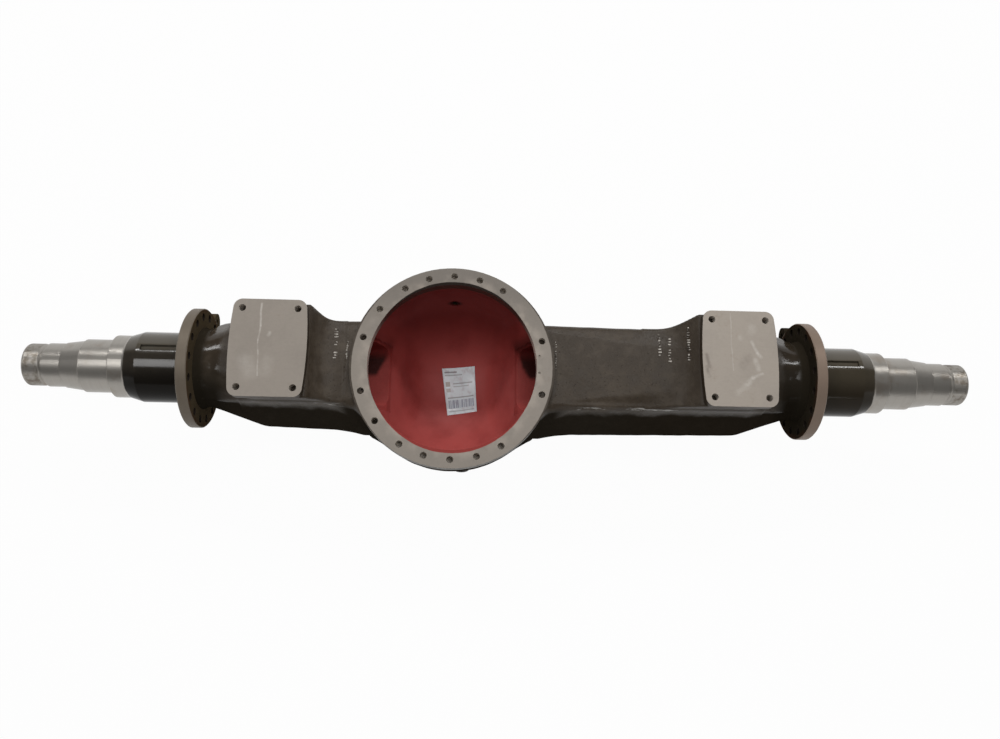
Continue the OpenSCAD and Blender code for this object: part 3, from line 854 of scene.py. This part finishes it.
def flange_finish():
    """Finish of a brake flange: turned rim, painted inner side with rust and a painted sheen, lighter on
    the left, dark holes, bare outer side.
    """
    w, where = new_material("flange_finish")
    colours = bpy.context.scene.housing_colours
    y, z, out, radius, right = end_places(w, where)
    ear = w.over(radius, (FLANGE_R + 0.6) * MM)
    inner_face = w.either(w.under(out, 0.4 * MM), ear)
    outer_face = w.over(out, (FLANGE_T - 0.4) * MM)
    middle = w.sub(1.0, w.either(inner_face, outer_face))
    hole = w.both(middle, w.under(radius, (FLANGE_R - 7) * MM))
    lines = turned_lines(w, out, y, z, 1500.0, 6.0, 3.0)
    rim = iron_on(w, where, colours.rim, lines=0.0, stain=0.6)
    rim_colour = w.mix(w.scaled(lines, 0.0, 0.35), rim["Color"], tone(84, 72, 62))
    rim_colour = w.tint(rim_colour, right, 0.5, 146, 124, 110)
    paint = paint_on(w, where, tone(50, 43, 33), grain=0.3, dust=0.05)
    rust_mask = w.both(
        w.step(radius, 108 * MM, 123 * MM),
        w.step(w.noise(where, 34.0, 4.0, 0.6), 0.38, 0.62), w.sub(1.0, ear))
    # Dark paint on the inner faces, the left one lighter than the right as a painted sheen
    inner = w.mix(0.6, paint["Color"], w.mix(right, tone(92, 80, 62), tone(42, 38, 31)))
    inner = w.mix(w.mul(rust_mask, 0.55), inner, colours.rust)
    colour = w.mix(inner_face, rim_colour, inner)
    inner_rough = w.add(0.38, w.mul(rust_mask, 0.3))
    height = w.blend(inner_face, w.mul(lines, 0.35), paint["Height"])
    return w.principled({
        "Base Color": w.mix(hole, colour, tone(44, 36, 30)),
        "Roughness": w.blend(inner_face, rim["Roughness"], inner_rough),
        "Metallic": w.mul(w.sub(1.0, inner_face), 0.3),
        "Specular IOR Level": w.scaled(inner_face, 0.25, 0.0),
        "Normal": bump(w, height, 0.35, 0.0006)})


def spindle_finish():
    """Finish of a spindle: glossy paint on the root, lighter along its top as a painted reflection and
    darker below as painted shade, ground journals, a dark shaft bore.
    """
    w, where = new_material("spindle_finish")
    y, z, out, radius, right = end_places(w, where)
    edge = w.add(out, w.ragged(where, 30.0, 8 * MM))
    painted = w.both(w.step(edge, PAINT_END * MM, (PAINT_END - 3) * MM), w.over(radius, 60 * MM))
    bore = w.under(radius, (SHAFT_BORE_R + 0.6) * MM)
    paint = paint_on(w, where, tone(44, 39, 32), grain=0.12, dust=0.06)
    lines = turned_lines(w, out, y, z, 2200.0, 5.0, 2.0)
    tarnish = w.step(w.noise(where, 18.0, 4.0), 0.52, 0.7)
    ground = w.mix(w.scaled(lines, 0.0, 0.6), tone(168, 164, 158), tone(122, 117, 110))
    ground = w.tint(ground, tarnish, 0.4, 116, 100, 82)
    ground = w.mix(bore, ground, tone(62, 54, 46))
    # Root paint, lighter on the right and lighter still along the top as a painted reflection
    coat_with_top_reflection = w.tint(paint["Color"], right, 0.6, 66, 59, 46)
    coat_with_top_reflection = w.tint(coat_with_top_reflection, w.step(y, 0.008, 0.034), 0.7, 86, 80, 69)
    # Painted shade: the lower half of the root is darker
    dark_tone_and_shade = w.mix(right, tone(14, 12, 10), tone(40, 34, 26))
    coat = w.mix(w.mul(w.step(y, 0.0, -0.04), 0.75), coat_with_top_reflection, dark_tone_and_shade)
    coat_rough = w.scaled(w.noise(where, 26.0, 3.0), 0.08, 0.2)
    height = w.blend(painted, w.mul(lines, 0.3), paint["Height"])
    return w.principled({
        "Base Color": w.mix(painted, ground, coat),
        "Metallic": w.mul(w.sub(1.0, w.either(painted, bore)), 0.85),
        "Roughness": w.blend(painted, w.scaled(lines, 0.26, 0.4), coat_rough),
        "Specular IOR Level": w.scaled(w.step(y, 0.0, -0.05), 0.4, 0.08),
        "Normal": bump(w, height, 0.3, 0.0005)})


def plain_metal(name, colour, worn, metallic, rough, scale):
    """A small fitting's finish: two tones by noise, with a fine grain."""
    w, where = new_material(name)
    patch = w.noise(where, scale, 4.0, 0.6)
    return w.principled({
        "Base Color": w.mix(w.step(patch, 0.42, 0.66), colour, worn),
        "Roughness": w.scaled(patch, rough - 0.08, rough + 0.12),
        "Metallic": metallic,
        "Normal": bump(w, w.noise(where, scale * 9, 2.0), 0.25, 0.0004)})


def label_finish():
    """Paper with generic bars and blocks, placed by the label's own UV map."""
    w, _ = new_material("label_finish")
    uv = w.node("TexCoord").outputs["UV"]
    u, v, _ = w.xyz(uv)
    soft = 0.006
    paper = bpy.context.scene.housing_colours.paper
    ink, blue, brown = tone(92, 88, 86), tone(120, 132, 158), tone(140, 116, 92)

    def block(u0, u1, v0, v1):
        return w.both(w.step(u, u0 - soft, u0 + soft), w.step(u, u1 + soft, u1 - soft),
                      w.step(v, v0 - soft, v0 + soft), w.step(v, v1 + soft, v1 - soft))

    colour = w.mix(w.step(w.noise(uv, 6.0, 3.0), 0.45, 0.8), paper, tone(202, 206, 210))
    for u0, u1, v0, v1, tint, amount in (
            (0.06, 0.44, 0.90, 0.93, ink, 0.7), (0.06, 0.60, 0.84, 0.865, ink, 0.5),
            (0.06, 0.20, 0.62, 0.72, brown, 0.7), (0.06, 0.20, 0.50, 0.58, brown, 0.5),
            (0.30, 0.90, 0.66, 0.685, ink, 0.55), (0.30, 0.78, 0.60, 0.62, ink, 0.45),
            (0.08, 0.92, 0.36, 0.385, ink, 0.6), (0.08, 0.92, 0.06, 0.085, ink, 0.4)):
        colour = w.mix(w.mul(block(u0, u1, v0, v1), amount), colour, tint)
    bars = w.step(w.noise(w.join(w.mul(u, 34.0)), 1.0, 1.0), 0.47, 0.52)
    colour = w.mix(w.mul(w.both(block(0.08, 0.92, 0.14, 0.32), bars), 0.8), colour, blue)
    return w.principled({
        "Base Color": colour,
        "Roughness": 0.45,
        "Coat Weight": 0.2})


def stand(piece):
    """Rides a new piece on the housing."""
    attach(piece, "root")


class AXLE_OT_effects(bpy.types.Operator):
    """Makes the node groups that the finishes share"""

    bl_idname = "axle.effects"
    bl_label = "Shared effects"

    def execute(self, context):
        make_cast_paint_group()
        make_bare_iron_group()
        make_streak_group()
        return {"FINISHED"}


class AXLE_OT_casting(bpy.types.Operator):
    """Finishes the solid casting and wraps its arms and bowl in the blended cast skin"""

    bl_idname = "axle.casting"
    bl_label = "Casting"

    def execute(self, context):
        finish = casting_finish()
        dress("housing_casting", finish)
        points, keep = cast_skin_points(context.scene.housing_sizes)
        skin = grid_piece("cast_skin", points, casting_paint(), wrap=True, keep=keep)
        stand(skin)
        inner, open_cells = lining_points()
        lining = grid_piece("bowl_lining", inner, lining_finish(), wrap=True, keep=open_cells)
        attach(lining, "root")
        for name, up in (("upper", 1), ("lower", -1)):
            cover = grid_piece("ring_cover_" + name, self.cover_points(up), finish, wrap=True)
            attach(cover, "root")
        marks = mesh_piece("cast_marks", *cast_marks(points), mark_finish())
        soft = marks.modifiers.new("soft edges", "BEVEL")
        soft.width, soft.segments = 0.7 * MM, 2
        stand(marks)
        return {"FINISHED"}

    def cover_points(self, up):
        """A flat disc just under the ring's face, over one of the two bolt holes that stay closed."""
        turn = np.linspace(0, 2 * np.pi, 48, endpoint=False)[None, :]
        radius = np.array([0.05, COVER_R])[:, None]
        angle = math.radians(COVER_ANGLE)
        x = BOLT_R * math.sin(angle) + radius * np.cos(turn)
        y = up * BOLT_R * math.cos(angle) + radius * np.sin(turn)
        return np.stack([x, y, np.full_like(x, -COVER_DROP)], -1) * MM


class AXLE_OT_flanges(bpy.types.Operator):
    """Finishes the two brake flanges"""

    bl_idname = "axle.flanges"
    bl_label = "Brake flanges"

    def execute(self, context):
        finish = flange_finish()
        for name in SIDES:
            dress("brake_flange_" + name, finish)
        return {"FINISHED"}


class AXLE_OT_spindles(bpy.types.Operator):
    """Finishes the two spindles and cuts their threads"""

    bl_idname = "axle.spindles"
    bl_label = "Spindles"

    def execute(self, context):
        finish = spindle_finish()
        steel = plain_metal("thread_steel", tone(150, 146, 140), tone(112, 104, 94), 0.85, 0.34, 60.0)
        sizes = context.scene.housing_sizes
        for name, side in SIDES.items():
            dress("spindle_" + name, finish)
            thread = grid_piece("spindle_thread_" + name, self.thread_points(side, sizes), steel)
            stand(thread)
        return {"FINISHED"}

    def thread_points(self, side, sizes):
        """A ridge wound round the spindle's end: a tent across one pitch, fading in and out at the ends."""
        pitch, depth = sizes.thread_pitch / MM, sizes.thread_depth / MM
        gap, margin, steps_per_turn = 0.08, 0.5, 72
        turns = (THREAD_TO - THREAD_FROM - 2 * margin) / pitch - 1
        angle = np.linspace(0, 2 * np.pi * turns, int(steps_per_turn * turns) + 1)[:, None]
        across = np.array([0.0, 0.08, 0.44, 0.56, 0.92, 1.0])[None, :]
        tent = np.array([0.0, 0.0, 1.0, 1.0, 0.0, 0.0])[None, :]
        fade = np.clip(np.minimum(angle, angle[-1] - angle) / (0.6 * np.pi), 0, 1)
        radius = THREAD_R + gap + depth * tent * fade
        out = THREAD_FROM + margin + pitch * (angle / (2 * np.pi) + across)
        turn = side * angle
        along = MID_X + side * (FLANGE_OUT + out)
        return np.stack([along, radius * np.sin(turn), AXLE_Z + radius * np.cos(turn)], -1) * MM


class AXLE_OT_fittings(bpy.types.Operator):
    """Finishes the plugs, their sealing rings and the breather"""

    bl_idname = "axle.fittings"
    bl_label = "Plugs and breather"

    def execute(self, context):
        painted = plain_metal("plug_paint", tone(66, 60, 53), tone(48, 44, 40), 0.1, 0.4, 120.0)
        copper = plain_metal("seal_copper", tone(150, 98, 66), tone(110, 74, 54), 0.8, 0.4, 160.0)
        plated = plain_metal("breather_plate", tone(158, 148, 122), tone(120, 110, 90), 0.7, 0.36, 140.0)
        for name in ("drain", "filler"):
            dress(name + "_plug", painted)
            dress(name + "_seal", copper)
        dress("breather", plated)
        return {"FINISHED"}


class AXLE_OT_label(bpy.types.Operator):
    """Puts the paper label on the floor of the bowl"""

    bl_idname = "axle.label"
    bl_label = "Label"

    # The label's corners as X and Y in millimetres: low left, low right, high right, high left
    corners = ((-13, -58), (54, -48), (47, 58), (-28.5, 52))

    def execute(self, context):
        label = grid_piece("bowl_label", self.points(), label_finish(), uv=True)
        sheet = label.modifiers.new("thickness", "SOLIDIFY")
        sheet.thickness, sheet.offset = 0.3 * MM, 1.0
        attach(label, "root")
        return {"FINISHED"}

    def points(self):
        """Four corners blended over a grid, then dropped on to the bowl's inner ball with a slight curl."""
        gap, curl = 1.1, 0.5
        low_l, low_r, high_r, high_l = (np.array(c, float) for c in self.corners)
        u = np.linspace(0, 1, 25)[:, None, None]
        v = np.linspace(0, 1, 33)[None, :, None]
        flat = (1 - u) * (1 - v) * low_l + u * (1 - v) * low_r + u * v * high_r + (1 - u) * v * high_l
        aside = 2 * np.maximum(np.abs(u - 0.5), np.abs(v - 0.5))[..., 0]
        ball = BOWL_INNER_R - gap - curl * aside ** 4
        z = AXLE_Z - np.sqrt(ball ** 2 - (flat ** 2).sum(-1))
        return np.concatenate([flat, z[..., None]], -1) * MM


class AXLE_OT_stage(bpy.types.Operator):
    """Sets the floor, the lamps, the world and the camera"""

    bl_idname = "axle.stage"
    bl_label = "Stage"

    def execute(self, context):
        scene = context.scene
        scene.view_settings.view_transform = "Standard"
        self.floor()
        self.lamp("key", (0.2, 2.05, 2.15), (0.1, 0, 0), 4.2, 0.24, 62)
        self.lamp("window", (-1.4, -0.05, 2.5), (-0.6, 0, 0), 0.9, 0.8, 13)
        self.lamp("front", (0.6, 0.3, 3.0), (0.1, 0, 0), 1.6, 0.9, 20)
        self.lamp("low", (0.3, -1.7, 0.75), (0.2, 0, 0), 2.6, 0.05, 5)
        world = bpy.data.worlds.new("studio")
        world.use_nodes = True
        world.node_tree.nodes["Background"].inputs[0].default_value = (1, 1, 1, 1)
        world.node_tree.nodes["Background"].inputs[1].default_value = 0.16
        scene.world = world
        self.camera(scene)
        return {"FINISHED"}

    def floor(self):
        """A wide disc that bends up along a quarter circle into a low round wall.

        It shows white to the camera and keeps a faint shadow.
        """
        low = CAD_BOX[0].z - 0.002
        flat_r, bend_r, wall_top = 9.0, 2.0, 3.8
        bend = np.linspace(0, np.pi / 2, 13)
        out = np.concatenate([[0.001], flat_r + bend_r * np.sin(bend), [flat_r + bend_r]])[:, None]
        up = np.concatenate([[0.0], bend_r - bend_r * np.cos(bend), [wall_top]])[:, None]
        turn = np.linspace(0, 2 * np.pi, 96, endpoint=False)[None, :]
        points = np.stack([out * np.cos(turn), out * np.sin(turn), low + up + 0 * turn], -1)
        w, _ = new_material("floor_white")
        path = w.node("LightPath").outputs
        seen = w.either(path["Is Camera Ray"], path["Is Glossy Ray"], path["Is Transmission Ray"])
        plain = w.node("BsdfDiffuse", {"Color": (0.7, 0.69, 0.68)}).outputs[0]
        glow = w.node("Emission", {"Color": (1, 1, 1), "Strength": 1.0}).outputs[0]
        white = w.surface(w.node("MixShader", {0: w.mul(seen, 0.97), 1: plain, 2: glow}))
        grid_piece("floor", points, white, wrap=True)

    def lamp(self, name, place, target, wide, high, power):
        """An area lamp that faces its target; sizes in metres, power in watts."""
        data = bpy.data.lights.new(name, "AREA")
        data.shape, data.size, data.size_y, data.energy = "RECTANGLE", wide, high, power
        lamp = bpy.data.objects.new(name, data)
        lamp.location = place
        lamp.rotation_mode = "QUATERNION"
        lamp.rotation_quaternion = (Vector(target) - Vector(place)).to_track_quat("-Z", "Y")
        bpy.context.scene.collection.objects.link(lamp)

    def camera(self, scene):
        """The photograph's view: found by fitting the ring, pads and flanges of the solids to it."""
        data = bpy.data.cameras.new("camera")
        data.sensor_width, data.lens = 36.0, 30.96
        data.clip_start, data.clip_end = 0.05, 60
        camera = bpy.data.objects.new("camera", data)
        right = Vector((0.99908391, 0.01393717, 0.04046098))
        ahead = Vector((0.03619535, 0.22920227, -0.97270562))
        up = -ahead.cross(right)
        turn = Matrix((right, up, -ahead)).transposed().to_4x4()
        camera.matrix_world = Matrix.Translation((0.033727, -0.405126, 1.694763)) @ turn
        scene.collection.objects.link(camera)
        scene.camera = camera


class AXLE_PT_panel(bpy.types.Panel):
    """Lists the steps, sizes and colours of the dressing"""

    bl_idname = "AXLE_PT_panel"
    bl_label = "Axle housing"
    bl_space_type = "VIEW_3D"
    bl_region_type = "UI"
    bl_category = "Axle housing"

    def draw(self, context):
        for step in STEPS:
            self.layout.operator(step.bl_idname)
        for group in (context.scene.housing_sizes, context.scene.housing_colours):
            for name in group.__annotations__:
                self.layout.prop(group, name)


STEPS = (
    AXLE_OT_effects, AXLE_OT_casting, AXLE_OT_flanges, AXLE_OT_spindles,
    AXLE_OT_fittings, AXLE_OT_label, AXLE_OT_stage,
)
CLASSES = (HousingSizes, HousingColours, *STEPS, AXLE_PT_panel)


def register():
    for each in CLASSES:
        bpy.utils.register_class(each)
    bpy.types.Scene.housing_sizes = bpy.props.PointerProperty(type=HousingSizes)
    bpy.types.Scene.housing_colours = bpy.props.PointerProperty(type=HousingColours)


def unregister():
    del bpy.types.Scene.housing_sizes
    del bpy.types.Scene.housing_colours
    for each in reversed(CLASSES):
        bpy.utils.unregister_class(each)


def main():
    register()
    bpy.ops.axle.effects()
    bpy.ops.axle.casting()
    bpy.ops.axle.flanges()
    bpy.ops.axle.spindles()
    bpy.ops.axle.fittings()
    bpy.ops.axle.label()
    bpy.ops.axle.stage()


if __name__ == "__main__":
    main()
